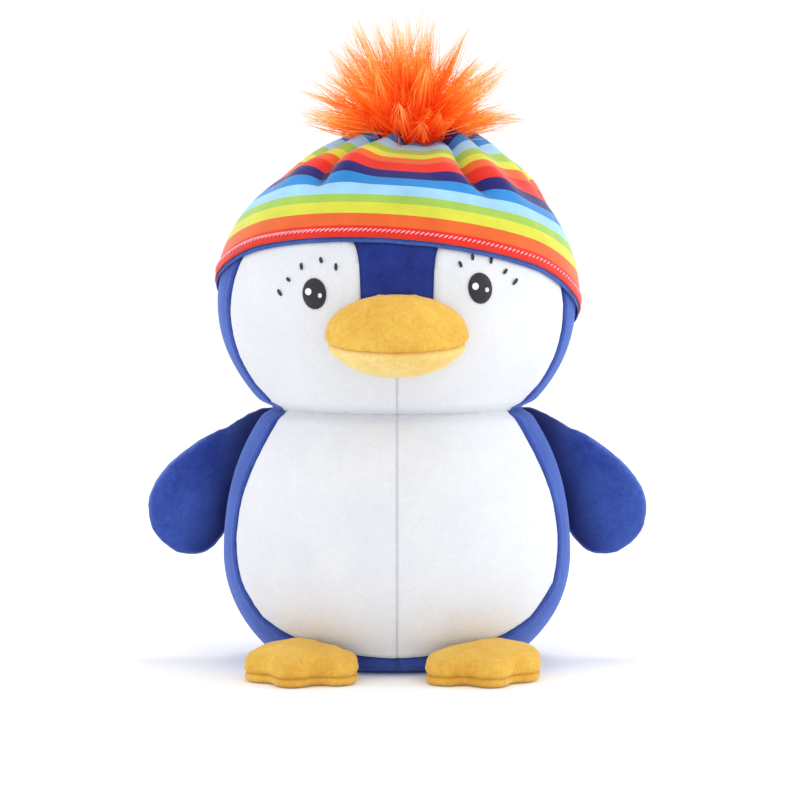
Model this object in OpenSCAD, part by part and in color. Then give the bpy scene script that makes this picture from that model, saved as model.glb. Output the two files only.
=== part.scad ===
// Sewn plush penguin with a pull-off striped hat. Millimetres, +Z up, the face looks along -Y.
// The origin is on the surface that it sits on, under the middle of the body.

/* [Body] */
// Width of the body at its widest level
body_w = 199; // [165:1:240]
// Depth of the body from belly to back
body_d = 172; // [143:1:206]
// Height of the widest level above the base
belly_level = 64; // [53:1:76]
// Height of the body's upper curve, from the widest level to where it would close
shoulder_curve = 124; // [103:1:149]
// Height of the body's lower curve, from the widest level down to where it would close
seat_curve = 82; // [80:1:98]
// Height of the neck seam above the base
neck_level = 147; // [122:1:165]

/* [Head] */
// Width of the head
head_w = 204; // [170:1:244]
// Depth of the head
head_d = 178; // [149:1:213]
// Height of the whole round head, if the neck didn't cut it
head_h = 176; // [147:1:211]
// Half-width of the dark strip between the eyes
strip_half_w = 20; // [14:1:28]
// Width of the beak
beak_w = 79; // [66:1:95]
// Height of the beak
beak_h = 47; // [39:1:56]
// Length of the beak's own round body, half of which stands out of the face
beak_l = 68; // [56:1:82]
// Drop of the beak's middle below the middle of the head
beak_drop = 14.5; // [10:0.5:20]
// Angle at which the beak points down
beak_tip_angle = 6; // [0:1:12]
// Distance between the middles of the eyes
eye_spacing = 91; // [76:1:108]
// Height of the eyes above the middle of the head
eye_rise = 9.5; // [4:0.5:14]
// Width of an embroidered eye
eye_w = 13; // [10:0.5:16]
// Height of an embroidered eye
eye_h = 17; // [13:0.5:20]

/* [Hat] */
// Height of the hem above the middle of the head
hem_rise = 8.5; // [6:0.5:16]
// Angle at which the hat leans back
hat_tilt = 19; // [10:1:21]
// Angle at which the hat leans to its left
hat_roll = 4.6; // [0:0.2:6]
// Thickness of the hat at its sides, lining included
hat_side = 3; // [2.6:0.1:5]
// Thickness of the hat at its gathered crown
hat_crown = 6.5; // [4:0.5:9]
// Width that the lining shows below the hem
lining_edge = 1.8; // [1:0.1:3]
// Width of the pompom
pom_w = 104; // [87:1:125]
// Height of the pompom
pom_h = 68; // [57:1:81]
// Distance of the pompom from the middle plane, towards the side that the hat leans to
pom_side = 8; // [0:0.5:12]

/* [Wings and feet] */
// Thickness of a stuffed wing
wing_t = 22; // [18:1:26]
// Distance of the wings behind the middle of the body
wing_setback = 24; // [18:1:30]
// Length of a wing from its pivot to the tip
wing_l = 86; // [72:1:103]
// Thickness of a foot at its back
foot_t = 20; // [17:1:22]
// Length of a foot
foot_l = 48; // [40:1:58]
// Distance between the middles of the feet
feet_spacing = 101; // [96:1:112]

/* [Cloth] */
// Thickness of the plush cloth with its pile
cloth = 1.6; // [1.2:0.1:2.4]
// Thickness of the embroidery
stitch_t = 0.8; // [0.5:0.1:1.2]
// Gap between soft pieces that move past each other
soft_gap = 0.6; // [0.4:0.1:1]

/* [Hidden] */
$fn = 128;

LEFT = -1;
RIGHT = 1;
far = 400;
touch = 0.1;

royal_blue = [0.24, 0.34, 0.66];
deep_blue = [0.13, 0.17, 0.42];
warm_white = [0.92, 0.92, 0.94];
golden = [0.95, 0.74, 0.33];
pale_gold = [0.93, 0.82, 0.54];
stuffing_white = [0.97, 0.97, 0.95];
thread_black = [0.12, 0.11, 0.13];
thread_white = [0.98, 0.98, 0.98];
stripe_red = [0.90, 0.24, 0.14];
pompom_orange = [0.98, 0.35, 0.10];
thread_pink = [0.95, 0.45, 0.55];

body_hw = body_w / 2;
body_hd = body_d / 2;
head_hw = head_w / 2;
head_hd = head_d / 2;
head_hh = head_h / 2;

// Half-width of the body at the neck seam, which the head's own curve has to meet.
neck_hw = body_hw * sqrt(1 - pow((neck_level - belly_level) / shoulder_curve, 2));
neck_hd = body_hd * neck_hw / body_hw;
head_z = neck_level + head_hh * sqrt(1 - pow(min(neck_hw / head_hw, 0.95), 2));

nod_relief = 9;
neck_thread = 1.2;
neck_plug_drop = 14;
neck_plug_r = min(neck_hd, neck_hw) - 6;

hat_top = head_z + head_hh + hat_crown;
pom_pivot_z = hat_top;
pom_foot = 1.5;
pom_core_r = 16;
pom_core_z = pom_pivot_z + pom_foot + pom_core_r + 2;
pom_slope = 24;

// The wing hangs from a pivot beside the shoulder, clear of the body by its own root radius.
wing_root_r = 5.5;
wing_pivot_drop = 10;
wing_z = neck_level - wing_pivot_drop;
wing_x = body_half_w(wing_z) * sqrt(1 - pow(wing_setback / body_half_d(wing_z), 2)) + wing_root_r + 2.1;

foot_back = 58;
foot_y = -foot_back * body_hd / 86;
foot_x = feet_spacing / 2;

// Half-width and half-depth of the body's outside at height z.
function level(z) = z > belly_level ? (z - belly_level) / shoulder_curve : (belly_level - z) / seat_curve;
function body_half_w(z) = body_hw * sqrt(1 - pow(level(z), 2));
function body_half_d(z) = body_hd * sqrt(1 - pow(level(z), 2));
// Half-width of the head's outside at height z above its middle.
function head_half_w(z) = head_hw * sqrt(1 - pow(z / head_hh, 2));

// A point on a smooth curve that passes through b and c, with a and d as their neighbours.
function curve_point(a, b, c, d, t) =
    0.5 * (2 * b + (c - a) * t + (2 * a - 5 * b + 4 * c - d) * t * t + (3 * b - a - 3 * c + d) * t * t * t);
// A closed smooth outline through the points, with a number of steps between each pair.
function smooth(p, steps) = [
    for (i = [0 : len(p) - 1], s = [0 : steps - 1])
        curve_point(p[(i + len(p) - 1) % len(p)], p[i], p[(i + 1) % len(p)], p[(i + 2) % len(p)], s / steps)
];
// The same outline moved inwards by d; its points run anticlockwise.
function turned(v) = [-v[1], v[0]] / norm(v);
function inset(p, d) = [
    for (i = [0 : len(p) - 1])
        p[i] + d * turned(p[(i + 1) % len(p)] - p[(i + len(p) - 1) % len(p)])
];

module half_space_x(side) {
    translate([side > 0 ? 0 : -far, -far, -far]) cube([far, 2 * far, 2 * far]);
}

// Everything in front of the XZ plane that lies inside a front-view outline.
module front_prism(outline) {
    rotate([90, 0, 0]) linear_extrude(far) polygon(outline);
}

// ---------------------------------------------------------------- body

// The body's round form, drawn in by g all round, from the base to a top level.
module body_form(g, top) {
    intersection() {
        translate([0, 0, belly_level]) {
            intersection() {
                scale([body_hw - g, body_hd - g, shoulder_curve - g]) sphere(1);
                translate([-far, -far, 0]) cube([2 * far, 2 * far, far]);
            }
            intersection() {
                scale([body_hw - g, body_hd - g, seat_curve - g]) sphere(1);
                translate([-far, -far, -far]) cube([2 * far, 2 * far, far]);
            }
        }
        translate([-far, -far, max(g, 0)]) cube([2 * far, 2 * far, top - max(g, 0)]);
    }
}

body_top = neck_level - neck_thread / 2 - 0.2;

// Side walls of the cloth body, above the base panel.
module body_cloth() {
    difference() {
        body_form(0, body_top);
        body_form(cloth, body_top + 1);
        translate([-far, -far, -1]) cube([2 * far, 2 * far, 1 + cloth]);
    }
}

// Belly seam: share of the half-width, and height as a share of the neck's height.
belly_seam = [
    [0, 0.065], [0.34, 0.084], [0.55, 0.115], [0.72, 0.153], [0.84, 0.21], [0.905, 0.34],
    [0.928, 0.50], [0.925, 0.66], [0.905, 0.77], [0.88, 0.90], [0.865, 1.0]
];
function belly_edge(side) = [
    for (p = belly_seam) [side * p[0] * body_half_w(p[1] * neck_level), p[1] * neck_level]
];

module belly_half(side) {
    points = belly_edge(side);
    intersection() {
        body_cloth();
        front_prism(concat(points, [[points[10][0], neck_level + 5], [0, neck_level + 5]]));
    }
}

module back_half(side) {
    points = belly_edge(side);
    difference() {
        intersection() {
            body_cloth();
            half_space_x(side);
        }
        front_prism(concat(
            points,
            [[points[10][0], neck_level + 5], [-side, neck_level + 5], [-side, points[0][1]]]
        ));
    }
}

module belly_left() { color(warm_white) belly_half(LEFT); }
module belly_right() { color(warm_white) belly_half(RIGHT); }
module back_left() { color(royal_blue) back_half(LEFT); }
module back_right() { color(royal_blue) back_half(RIGHT); }

module base_panel() {
    color(royal_blue) intersection() {
        body_form(0, body_top);
        translate([-far, -far, -1]) cube([2 * far, 2 * far, 1 + cloth]);
    }
}

// A flat bag of beads sits on the base panel inside the stuffing.
pouch_hw = 55;
pouch_hd = 44;
pouch_hh = 15;
pouch_wall = 0.8;

module pouch_form(g) {
    translate([0, 0, cloth + pouch_hh + 2]) scale([pouch_hw - g, pouch_hd - g, pouch_hh - g]) sphere(1);
}

module torso_stuffing() {
    color(stuffing_white) difference() {
        body_form(cloth + touch, body_top - neck_plug_drop);
        pouch_form(-touch);
    }
}

module pellet_pouch() {
    color("gainsboro") difference() {
        pouch_form(0);
        pouch_form(pouch_wall);
    }
}

module pellets() { color("lightgray") pouch_form(pouch_wall + touch); }

label_w = 22;
label_l = 26;
label_t = 0.8;
label_z = 34;

// A blank folded ribbon sewn into the bottom of the back seam.
module care_label() {
    color(thread_white) difference() {
        translate([0, body_half_d(label_z) - 2, label_z])
            rotate([28, 0, 0])
            translate([-label_w / 2, -label_t / 2, -label_l])
            cube([label_w, label_t, label_l]);
        body_form(0, body_top);
    }
}

// ---------------------------------------------------------------- neck

module oval(hw, hd) {
    scale([hw, hd]) circle(1);
}

// The thread that draws the head and the body together.
module neck_seam() {
    color(royal_blue) intersection() {
        difference() {
            body_form(0.2, neck_level + 5);
            body_form(0.2 + neck_thread, neck_level + 6);
        }
        translate([-far, -far, neck_level - neck_thread / 2]) cube([2 * far, 2 * far, neck_thread]);
    }
}

// The space round the neck into which the head nods: lowest along the nod's axis; g lifts it.
module nod_room(g) {
    rise = far * tan(nod_relief);
    translate([0, 0, neck_level + g])
        rotate([90, 0, 90])
        linear_extrude(2 * far, center = true)
        polygon([[0, 0], [far, rise], [far, -far], [-far, -far], [-far, rise]]);
}

// A round plug of fibre that joins the two stuffed forms and squashes as the head nods.
module neck_stuffing() {
    color(stuffing_white) intersection() {
        translate([0, 0, body_top - neck_plug_drop + soft_gap]) cylinder(r = neck_plug_r, h = 40);
        nod_room(neck_thread / 2 - 0.1);
    }
}

// ---------------------------------------------------------------- head

// The whole round head, drawn in by g; poles turns the sphere before it is stretched.
module head_ball(g, poles = [90, 0, 90]) {
    translate([0, 0, head_z]) scale([head_hw - g, head_hd - g, head_hh - g]) rotate(poles) sphere(1);
}

module head_cloth() {
    difference() {
        head_ball(0);
        head_ball(cloth);
        nod_room(neck_thread / 2 + 0.2);
    }
}

// Outer seam of a face panel: share of the half-width, and height above the head's middle
// as a share of the head's half-height. It runs from the chin to the temple.
cheek_seam = [
    [0.853, -0.68], [0.922, -0.517], [0.933, -0.34], [0.929, -0.125], [0.925, 0], [0.915, 0.17],
    [0.893, 0.33], [0.86, 0.46]
];
// Top of a face panel, under the hat: distance past the strip, and the same share of height.
brow_seam = [[42, 0.59], [26, 0.625], [13, 0.56], [5, 0.45], [1.2, 0.34], [0.4, 0.2], [0, 0.05]];

function face_edge(side) = concat(
    [[0, head_z - 0.9 * head_hh]],
    [[side * 0.8 * head_half_w(-0.75 * head_hh), head_z - 0.9 * head_hh]],
    [for (p = cheek_seam) [side * p[0] * head_half_w(p[1] * head_hh), head_z + p[1] * head_hh]],
    [for (p = brow_seam) [side * (strip_half_w + p[0]), head_z + p[1] * head_hh]],
    [[side * strip_half_w, head_z - beak_drop], [0, head_z - beak_drop]]
);

module face_half(side) {
    intersection() {
        head_cloth();
        front_prism(face_edge(side));
    }
}

// The strip runs from the beak over the brow to a seam across the crown.
module strip_box() {
    translate([-strip_half_w - brow_seam[1][0], -far, head_z - beak_drop - 3])
        cube([2 * strip_half_w + 2 * brow_seam[1][0], far, far]);
}

module face_left() { color(warm_white) face_half(LEFT); }
module face_right() { color(warm_white) face_half(RIGHT); }

module forehead_strip() {
    color(deep_blue) difference() {
        intersection() {
            head_cloth();
            strip_box();
        }
        front_prism(face_edge(LEFT));
        front_prism(face_edge(RIGHT));
    }
}

module head_back_half(side) {
    color(royal_blue) difference() {
        intersection() {
            head_cloth();
            half_space_x(side);
        }
        front_prism(face_edge(side));
        strip_box();
    }
}

module head_back_left() { head_back_half(LEFT); }
module head_back_right() { head_back_half(RIGHT); }

module head_stuffing() {
    color(stuffing_white) difference() {
        head_ball(cloth + touch, [0, 0, 0]);
        nod_room(neck_thread / 2 + 0.2);
    }
}

// Beak: a stuffed oval, sewn on the face where it meets the head.
beak_z = head_z - beak_drop;
beak_y = -head_hd * sqrt(1 - pow(beak_drop / head_hh, 2));

module in_beak_frame() {
    translate([0, beak_y, beak_z]) rotate([beak_tip_angle, 0, 0]) children();
}

module beak_form(g) {
    difference() {
        in_beak_frame()
            scale([beak_w / 2 - g, beak_l / 2 - g, beak_h / 2 - g])
            rotate([90, -90, 0])
            sphere(1);
        head_ball(0);
    }
}

beak_seam_drop = 4;

module beak_half(up) {
    intersection() {
        difference() {
            beak_form(0);
            beak_form(cloth);
        }
        in_beak_frame()
            translate([-far, -far, up ? -beak_seam_drop : -far - beak_seam_drop])
                cube([2 * far, 2 * far, far]);
    }
}

module beak_upper() { color(golden) beak_half(true); }
module beak_lower() { color(pale_gold) beak_half(false); }
module beak_stuffing() { color(stuffing_white) beak_form(cloth + touch); }

// A thin raised layer on the face, as thick as its stitches, inside a front-view shape.
module embroidery(from, thickness) {
    intersection() {
        difference() {
            head_ball(-from - thickness);
            head_ball(-from);
        }
        translate([0, 0, head_z]) rotate([90, 0, 0]) linear_extrude(far) children();
    }
}

module eye_oval(side, grow) {
    translate([side * eye_spacing / 2, eye_rise]) oval(eye_w / 2 + grow, eye_h / 2 + grow);
}

module eye(side) {
    color(thread_black) embroidery(0, stitch_t) eye_oval(side, 0);
}

// Two white stitches on each eye, a large one and a small one.
module eye_glints(side) {
    color(thread_white) embroidery(stitch_t, stitch_t / 2) {
        translate([side * eye_spacing / 2 - eye_w * 0.25, eye_rise + eye_h * 0.06]) circle(r = 2.1);
        translate([side * eye_spacing / 2 + eye_w * 0.26, eye_rise - eye_h * 0.08]) circle(r = 1.3);
    }
}

// Five short stitches round the top of each eye: angle from the eye's middle, and distance.
lash_angles = [172, 143, 116, 84, 50];
lash_distances = [19.5, 17.6, 16.4, 16.2, 17.2];
lash_l = 4;
lash_w = 1.6;

module lashes(side) {
    color(thread_black) embroidery(0, stitch_t)
        for (i = [0 : 4])
            translate([side * eye_spacing / 2, eye_rise])
                rotate(90 + side * (90 - lash_angles[i]) * -1)
                translate([lash_distances[i] * eye_h / 17, 0])
                square([lash_l, lash_w], center = true);
}

module eye_left() { eye(LEFT); }
module eye_right() { eye(RIGHT); }
module eye_glints_left() { eye_glints(LEFT); }
module eye_glints_right() { eye_glints(RIGHT); }
module lashes_left() { lashes(LEFT); }
module lashes_right() { lashes(RIGHT); }

// ---------------------------------------------------------------- hat

// Everything above a plane that is parallel to the hem, at a height above it.
module above_hem(height) {
    translate([0, 0, head_z + hem_rise])
        rotate([-hat_tilt, hat_roll, 0])
        translate([-far, -far, height])
        cube([2 * far, 2 * far, far]);
}

lining_t = 1;

// Turn of a sphere that puts its poles over the hem once it is stretched by these three
// amounts, so that the hem is one of its parallels.
hat_axis = [cos(hat_tilt) * sin(hat_roll), sin(hat_tilt), cos(hat_tilt) * cos(hat_roll)];
function hem_poles(x, y, z) =
    let (v = [x * hat_axis[0], y * hat_axis[1], z * hat_axis[2]])
    [-asin(v[1] / norm(v)), atan2(v[0], v[2]), 0];

// An oval dome round the head, with room all round it and more at the crown.
module hat_dome(side, crown) {
    size = [head_hw + side, head_hd + side, head_hh + crown];
    translate([0, 0, head_z]) scale(size) rotate(hem_poles(size[0], size[1], size[2])) sphere(1);
}

module hat_shell() {
    color(stripe_red) intersection() {
        difference() {
            hat_dome(hat_side, hat_crown);
            hat_dome(soft_gap + lining_t + touch, soft_gap + lining_t + touch);
        }
        above_hem(0);
    }
}

module hat_lining() {
    color(royal_blue) intersection() {
        difference() {
            hat_dome(soft_gap + lining_t, soft_gap + lining_t);
            hat_dome(soft_gap, soft_gap);
        }
        above_hem(-lining_edge);
    }
}

hem_stitch_low = 4;
hem_stitch_w = 3;

module hat_hem_stitching() {
    color(thread_pink) difference() {
        intersection() {
            difference() {
                hat_dome(hat_side + stitch_t / 2, hat_crown + stitch_t / 2);
                hat_dome(hat_side, hat_crown);
            }
            above_hem(hem_stitch_low);
        }
        above_hem(hem_stitch_low + hem_stitch_w);
    }
}

// ---------------------------------------------------------------- pompom

module pom_core(g) {
    translate([pom_side, 0, pom_core_z]) sphere(pom_core_r - g);
}

// The space that the long pile fills: an oval that narrows to the gathered root.
module pompom_fur() {
    color(pompom_orange) difference() {
        intersection() {
            translate([pom_side, 0, pom_pivot_z + pom_h / 2])
                scale([pom_w / 2, pom_w / 2, pom_h / 2])
                sphere(1);
            translate([pom_side, 0, pom_pivot_z + pom_foot])
                cylinder(h = pom_h, r1 = 5, r2 = 5 + pom_h / tan(pom_slope));
        }
        pom_core(-touch);
        translate([pom_side, 0, pom_pivot_z]) cylinder(r = 4.2, h = pom_core_r);
    }
}

module pompom_backing() {
    color(deep_blue) difference() {
        pom_core(0);
        pom_core(cloth);
    }
}

module pompom_stuffing() { color(stuffing_white) pom_core(cloth + touch); }

module pompom_thread() {
    color(deep_blue) translate([pom_side, 0, pom_pivot_z + pom_foot + 0.8])
        rotate_extrude() translate([3, 0]) circle(r = 0.6, $fn = 32);
}

// ---------------------------------------------------------------- wings

// Outline of a wing from its pivot: distance outwards and distance up, for a wing 86 long.
wing_corners = [
    [-4.5, -3.5], [-2.5, -14], [1, -26], [5, -38], [9.5, -50], [14.5, -61], [20, -70], [27, -76.5],
    [36, -78], [46, -74], [53.5, -66], [57.5, -55], [56, -42], [50, -31], [41, -21],
    [30, -12], [18, -3.5], [8, 2.6], [1.5, 5.2], [-3.6, 3.2]
];
wing_scale = wing_l / 86;
wing_points = smooth(wing_corners, 2);

module wing_prism(g) {
    rotate([90, 0, 0]) translate([0, 0, -wing_t]) linear_extrude(2 * wing_t)
        polygon(inset(wing_scale * wing_points, g));
}

// A flat pillow: the outline as seen from the front, domed on both sides.
module wing_form(g) {
    difference() {
        translate([wing_x, wing_setback, wing_z]) intersection() {
            wing_prism(g);
            translate(wing_scale * [31, 0, -42])
                rotate([0, 36, 0])
                scale([wing_scale * 38 - g, wing_t / 2 - g, wing_scale * 62 - g])
                sphere(1);
        }
        body_form(-soft_gap - g, neck_level + 20);
    }
}

module wing_cloth_half(front) {
    intersection() {
        difference() {
            wing_form(0);
            wing_form(cloth);
        }
        translate([-far, front ? wing_setback - far : wing_setback, -far]) cube([2 * far, far, 2 * far]);
    }
}

module on_side(side) {
    mirror([side < 0 ? 1 : 0, 0, 0]) children();
}

module wing_left_front() { color(royal_blue) on_side(LEFT) wing_cloth_half(true); }
module wing_left_back() { color(royal_blue) on_side(LEFT) wing_cloth_half(false); }
module wing_left_stuffing() { color(stuffing_white) on_side(LEFT) wing_form(cloth + touch); }
module wing_right_front() { color(royal_blue) on_side(RIGHT) wing_cloth_half(true); }
module wing_right_back() { color(royal_blue) on_side(RIGHT) wing_cloth_half(false); }
module wing_right_stuffing() { color(stuffing_white) on_side(RIGHT) wing_form(cloth + touch); }

// ---------------------------------------------------------------- feet

// Outline of a foot with its three toes, from the middle of its back edge, for a foot 48 long.
foot_corners = [
    [-20, 0], [-29, -9], [-32, -22], [-30, -35], [-23, -41], [-15, -40], [-9.5, -36.5],
    [-5, -43], [3, -48], [11, -45.5], [16, -37], [17.5, -31], [25, -29.5], [31.5, -22], [31, -11], [22, 0]
];
foot_scale = foot_l / 48;
foot_points = smooth(foot_corners, 3);

module foot_outline(g) {
    polygon(inset(foot_scale * foot_points, g));
}

// A domed, flat-bottomed form; the back follows the body's curve with room to flex.
module foot_form(g) {
    difference() {
        translate([foot_x, foot_y, 0]) intersection() {
            translate([0, 0, g]) linear_extrude(foot_t) foot_outline(g);
            scale([foot_scale * 46 - g, foot_scale * 58 - g, foot_t - g]) sphere(1);
        }
        linear_extrude(2 * foot_t, center = true)
            oval(body_half_w(foot_t) + 2 + g, body_half_d(foot_t) + 2 + g);
    }
}

module foot_top(side) {
    color(golden) on_side(side) difference() {
        foot_form(0);
        foot_form(cloth);
        translate([-far, -far, -1]) cube([2 * far, 2 * far, 1 + cloth]);
    }
}

module foot_sole(side) {
    color(golden) on_side(side) intersection() {
        foot_form(0);
        translate([-far, -far, -1]) cube([2 * far, 2 * far, 1 + cloth]);
    }
}

module foot_stuffing(side) {
    color(stuffing_white) on_side(side) foot_form(cloth + touch);
}

module foot_left_top() { foot_top(LEFT); }
module foot_left_sole() { foot_sole(LEFT); }
module foot_left_stuffing() { foot_stuffing(LEFT); }
module foot_right_top() { foot_top(RIGHT); }
module foot_right_sole() { foot_sole(RIGHT); }
module foot_right_stuffing() { foot_stuffing(RIGHT); }

// ---------------------------------------------------------------- assembly

belly_left();
belly_right();
back_left();
back_right();
base_panel();
torso_stuffing();
pellet_pouch();
pellets();
care_label();
neck_seam();
neck_stuffing();
face_left();
face_right();
forehead_strip();
head_back_left();
head_back_right();
head_stuffing();
beak_upper();
beak_lower();
beak_stuffing();
eye_left();
eye_right();
eye_glints_left();
eye_glints_right();
lashes_left();
lashes_right();
hat_shell();
hat_lining();
hat_hem_stitching();
pompom_fur();
pompom_backing();
pompom_stuffing();
pompom_thread();
wing_left_front();
wing_left_back();
wing_left_stuffing();
wing_right_front();
wing_right_back();
wing_right_stuffing();
foot_left_top();
foot_left_sole();
foot_left_stuffing();
foot_right_top();
foot_right_sole();
foot_right_stuffing();
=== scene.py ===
"""Looks of the sewn plush penguin: stuffed cloth panels, striped hat, fur pompom, lights and camera."""

import math
import random

import bmesh
import bpy
import numpy as np
from mathutils import Matrix, Vector, noise
from mathutils.bvhtree import BVHTree
from mathutils.kdtree import KDTree


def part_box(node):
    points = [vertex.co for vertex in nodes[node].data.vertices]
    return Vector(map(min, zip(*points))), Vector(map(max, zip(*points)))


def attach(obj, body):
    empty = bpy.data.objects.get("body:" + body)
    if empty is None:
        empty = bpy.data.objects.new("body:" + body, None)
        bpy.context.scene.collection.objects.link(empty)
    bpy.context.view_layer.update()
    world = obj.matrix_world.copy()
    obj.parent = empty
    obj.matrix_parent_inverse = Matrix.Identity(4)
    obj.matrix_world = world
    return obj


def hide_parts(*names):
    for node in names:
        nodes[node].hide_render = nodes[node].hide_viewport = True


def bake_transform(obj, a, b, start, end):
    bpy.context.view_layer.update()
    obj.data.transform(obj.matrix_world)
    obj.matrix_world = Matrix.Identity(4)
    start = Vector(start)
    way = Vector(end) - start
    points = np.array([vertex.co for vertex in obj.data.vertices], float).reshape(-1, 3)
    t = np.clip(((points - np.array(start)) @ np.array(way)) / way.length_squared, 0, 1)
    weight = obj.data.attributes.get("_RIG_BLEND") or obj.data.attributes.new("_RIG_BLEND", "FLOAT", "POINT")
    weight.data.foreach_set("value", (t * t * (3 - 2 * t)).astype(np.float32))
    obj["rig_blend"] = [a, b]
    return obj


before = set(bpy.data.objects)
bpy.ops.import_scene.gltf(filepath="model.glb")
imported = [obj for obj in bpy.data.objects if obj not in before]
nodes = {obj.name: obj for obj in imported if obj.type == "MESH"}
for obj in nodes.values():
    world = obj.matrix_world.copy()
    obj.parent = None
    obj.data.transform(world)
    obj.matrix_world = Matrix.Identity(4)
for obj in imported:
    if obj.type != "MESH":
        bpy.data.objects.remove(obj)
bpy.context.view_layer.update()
scene = bpy.context.scene

MM = 0.001
LEFT, RIGHT = -1, 1
SIDE_NAMES = {LEFT: "left", RIGHT: "right"}

# ---------------------------------------------------------------- sizes

BELLY_LEVEL = 64 * MM
SHOULDER_CURVE = 124 * MM
SEAT_CURVE = 82 * MM
HEAD_HALF_H = 88 * MM
HAT_TILT = math.radians(19)
HAT_ROLL = math.radians(4.6)
HEM_RISE = 8.5 * MM
CLOTH = 1.4 * MM

body_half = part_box("back_right")[1]
head_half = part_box("head_back_right")[1]
neck_level = sum(corner.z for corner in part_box("neck_seam")) / 2
neck_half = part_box("neck_seam")[1]
head_middle = Vector((0, 0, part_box("forehead_strip")[1].z - HEAD_HALF_H))
head_size = Vector((head_half.x, head_half.y, HEAD_HALF_H))
pompom_root = Vector((sum(c.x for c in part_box("pompom_thread")) / 2, 0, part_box("pompom_thread")[0].z))

# ---------------------------------------------------------------- shader helpers


def srgb(red, green, blue):
    """A colour given 0 to 255 a channel, as the shader wants it."""
    channels = [c / 255 for c in (red, green, blue)]
    return (*[c / 12.92 if c <= 0.04045 else ((c + 0.055) / 1.055) ** 2.4 for c in channels], 1.0)


def node(tree, kind, settings=None, inputs=None):
    """A new shader node with its settings, and its inputs as values or as links from sockets."""
    made = tree.nodes.new(kind)
    for name, value in (settings or {}).items():
        setattr(made, name, value)
    for name, value in (inputs or {}).items():
        if isinstance(value, bpy.types.NodeSocket):
            tree.links.new(value, made.inputs[name])
        else:
            made.inputs[name].default_value = value
    return made


def noise_of(tree, vector, scale, detail=2.0, distortion=0.0):
    inputs = {"Vector": vector, "Scale": scale, "Detail": detail, "Distortion": distortion}
    return node(tree, "ShaderNodeTexNoise", None, inputs).outputs["Fac"]


def spread(tree, value, low, high, to_low=0.0, to_high=1.0):
    """Stretches value from low..high to to_low..to_high, clamped."""
    inputs = {"Value": value, "From Min": low, "From Max": high, "To Min": to_low, "To Max": to_high}
    return node(tree, "ShaderNodeMapRange", {"clamp": True}, inputs).outputs["Result"]


def calc(tree, operation, first, second=0.0):
    return node(tree, "ShaderNodeMath", {"operation": operation}, {0: first, 1: second}).outputs[0]


def mix(tree, factor, first, second, blend_type="MIX"):
    settings = {"data_type": "RGBA", "blend_type": blend_type}
    return node(tree, "ShaderNodeMix", settings, {0: factor, 6: first, 7: second}).outputs[2]


def bump(tree, height, strength, distance):
    inputs = {"Height": height, "Strength": strength, "Distance": distance}
    return node(tree, "ShaderNodeBump", None, inputs).outputs["Normal"]


def shader_group(name, sockets, build):
    """A shader node group with named inputs; build gets the tree and its inputs and returns the outputs."""
    tree = bpy.data.node_groups.new(name, "ShaderNodeTree")
    for label, kind, value in sockets:
        tree.interface.new_socket(label, in_out="INPUT", socket_type=kind).default_value = value
    for label, kind in (("Color", "Color"), ("Roughness", "Float"), ("Normal", "Vector")):
        tree.interface.new_socket(label, in_out="OUTPUT", socket_type="NodeSocket" + kind)
    made = build(tree, node(tree, "NodeGroupInput").outputs)
    node(tree, "NodeGroupOutput", None, made)
    return tree


def object_coordinates(tree):
    return node(tree, "ShaderNodeTexCoord").outputs["Object"]


def vector_calc(tree, operation, inputs):
    return node(tree, "ShaderNodeVectorMath", {"operation": operation}, inputs).outputs


def plush_nodes(tree, given):
    """Short pile: cloudy brushed patches, the nap's fine streaks, the grain of its tips, painted shade in the
    seams' grooves and painted shade where a wing lies against the body.
    """
    place = object_coordinates(tree)
    patches = noise_of(tree, place, 34.0, 3.0)
    nap = noise_of(tree, place, 210.0, 3.0, 1.2)
    grain = noise_of(tree, place, given["Pile"], 2.0)
    brushed = calc(tree, "ADD", calc(tree, "MULTIPLY", patches, 0.6), calc(tree, "MULTIPLY", nap, 0.4))
    shade = mix(tree, spread(tree, brushed, 0.38, 0.64), given["Color"], given["Brushed"])
    shade = mix(tree, 1.0, shade, spread(tree, grain, 0.3, 0.7, given["Dark grain"], 1.04), "MULTIPLY")
    # Painted shade: the seams' grooves are darkened towards the shadow colour.
    seam = node(tree, "ShaderNodeAttribute", {"attribute_name": "seam"}).outputs["Fac"]
    shade = mix(tree, calc(tree, "MULTIPLY", seam, given["Seam"]), shade, given["Shadow"])
    # Painted shade where the wing lies against the body and is shaded by it.
    painted_root_shade = node(tree, "ShaderNodeAttribute", {"attribute_name": "painted_root_shade"}).outputs["Fac"]
    shade = mix(tree, painted_root_shade, shade, given["Shadow"])
    height = calc(tree, "ADD", grain, calc(tree, "MULTIPLY", nap, 0.8))
    return {
        "Color": shade,
        "Roughness": spread(tree, nap, 0.3, 0.7, 0.78, 0.95),
        "Normal": bump(tree, height, given["Depth"], 0.5 * MM),
    }


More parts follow.
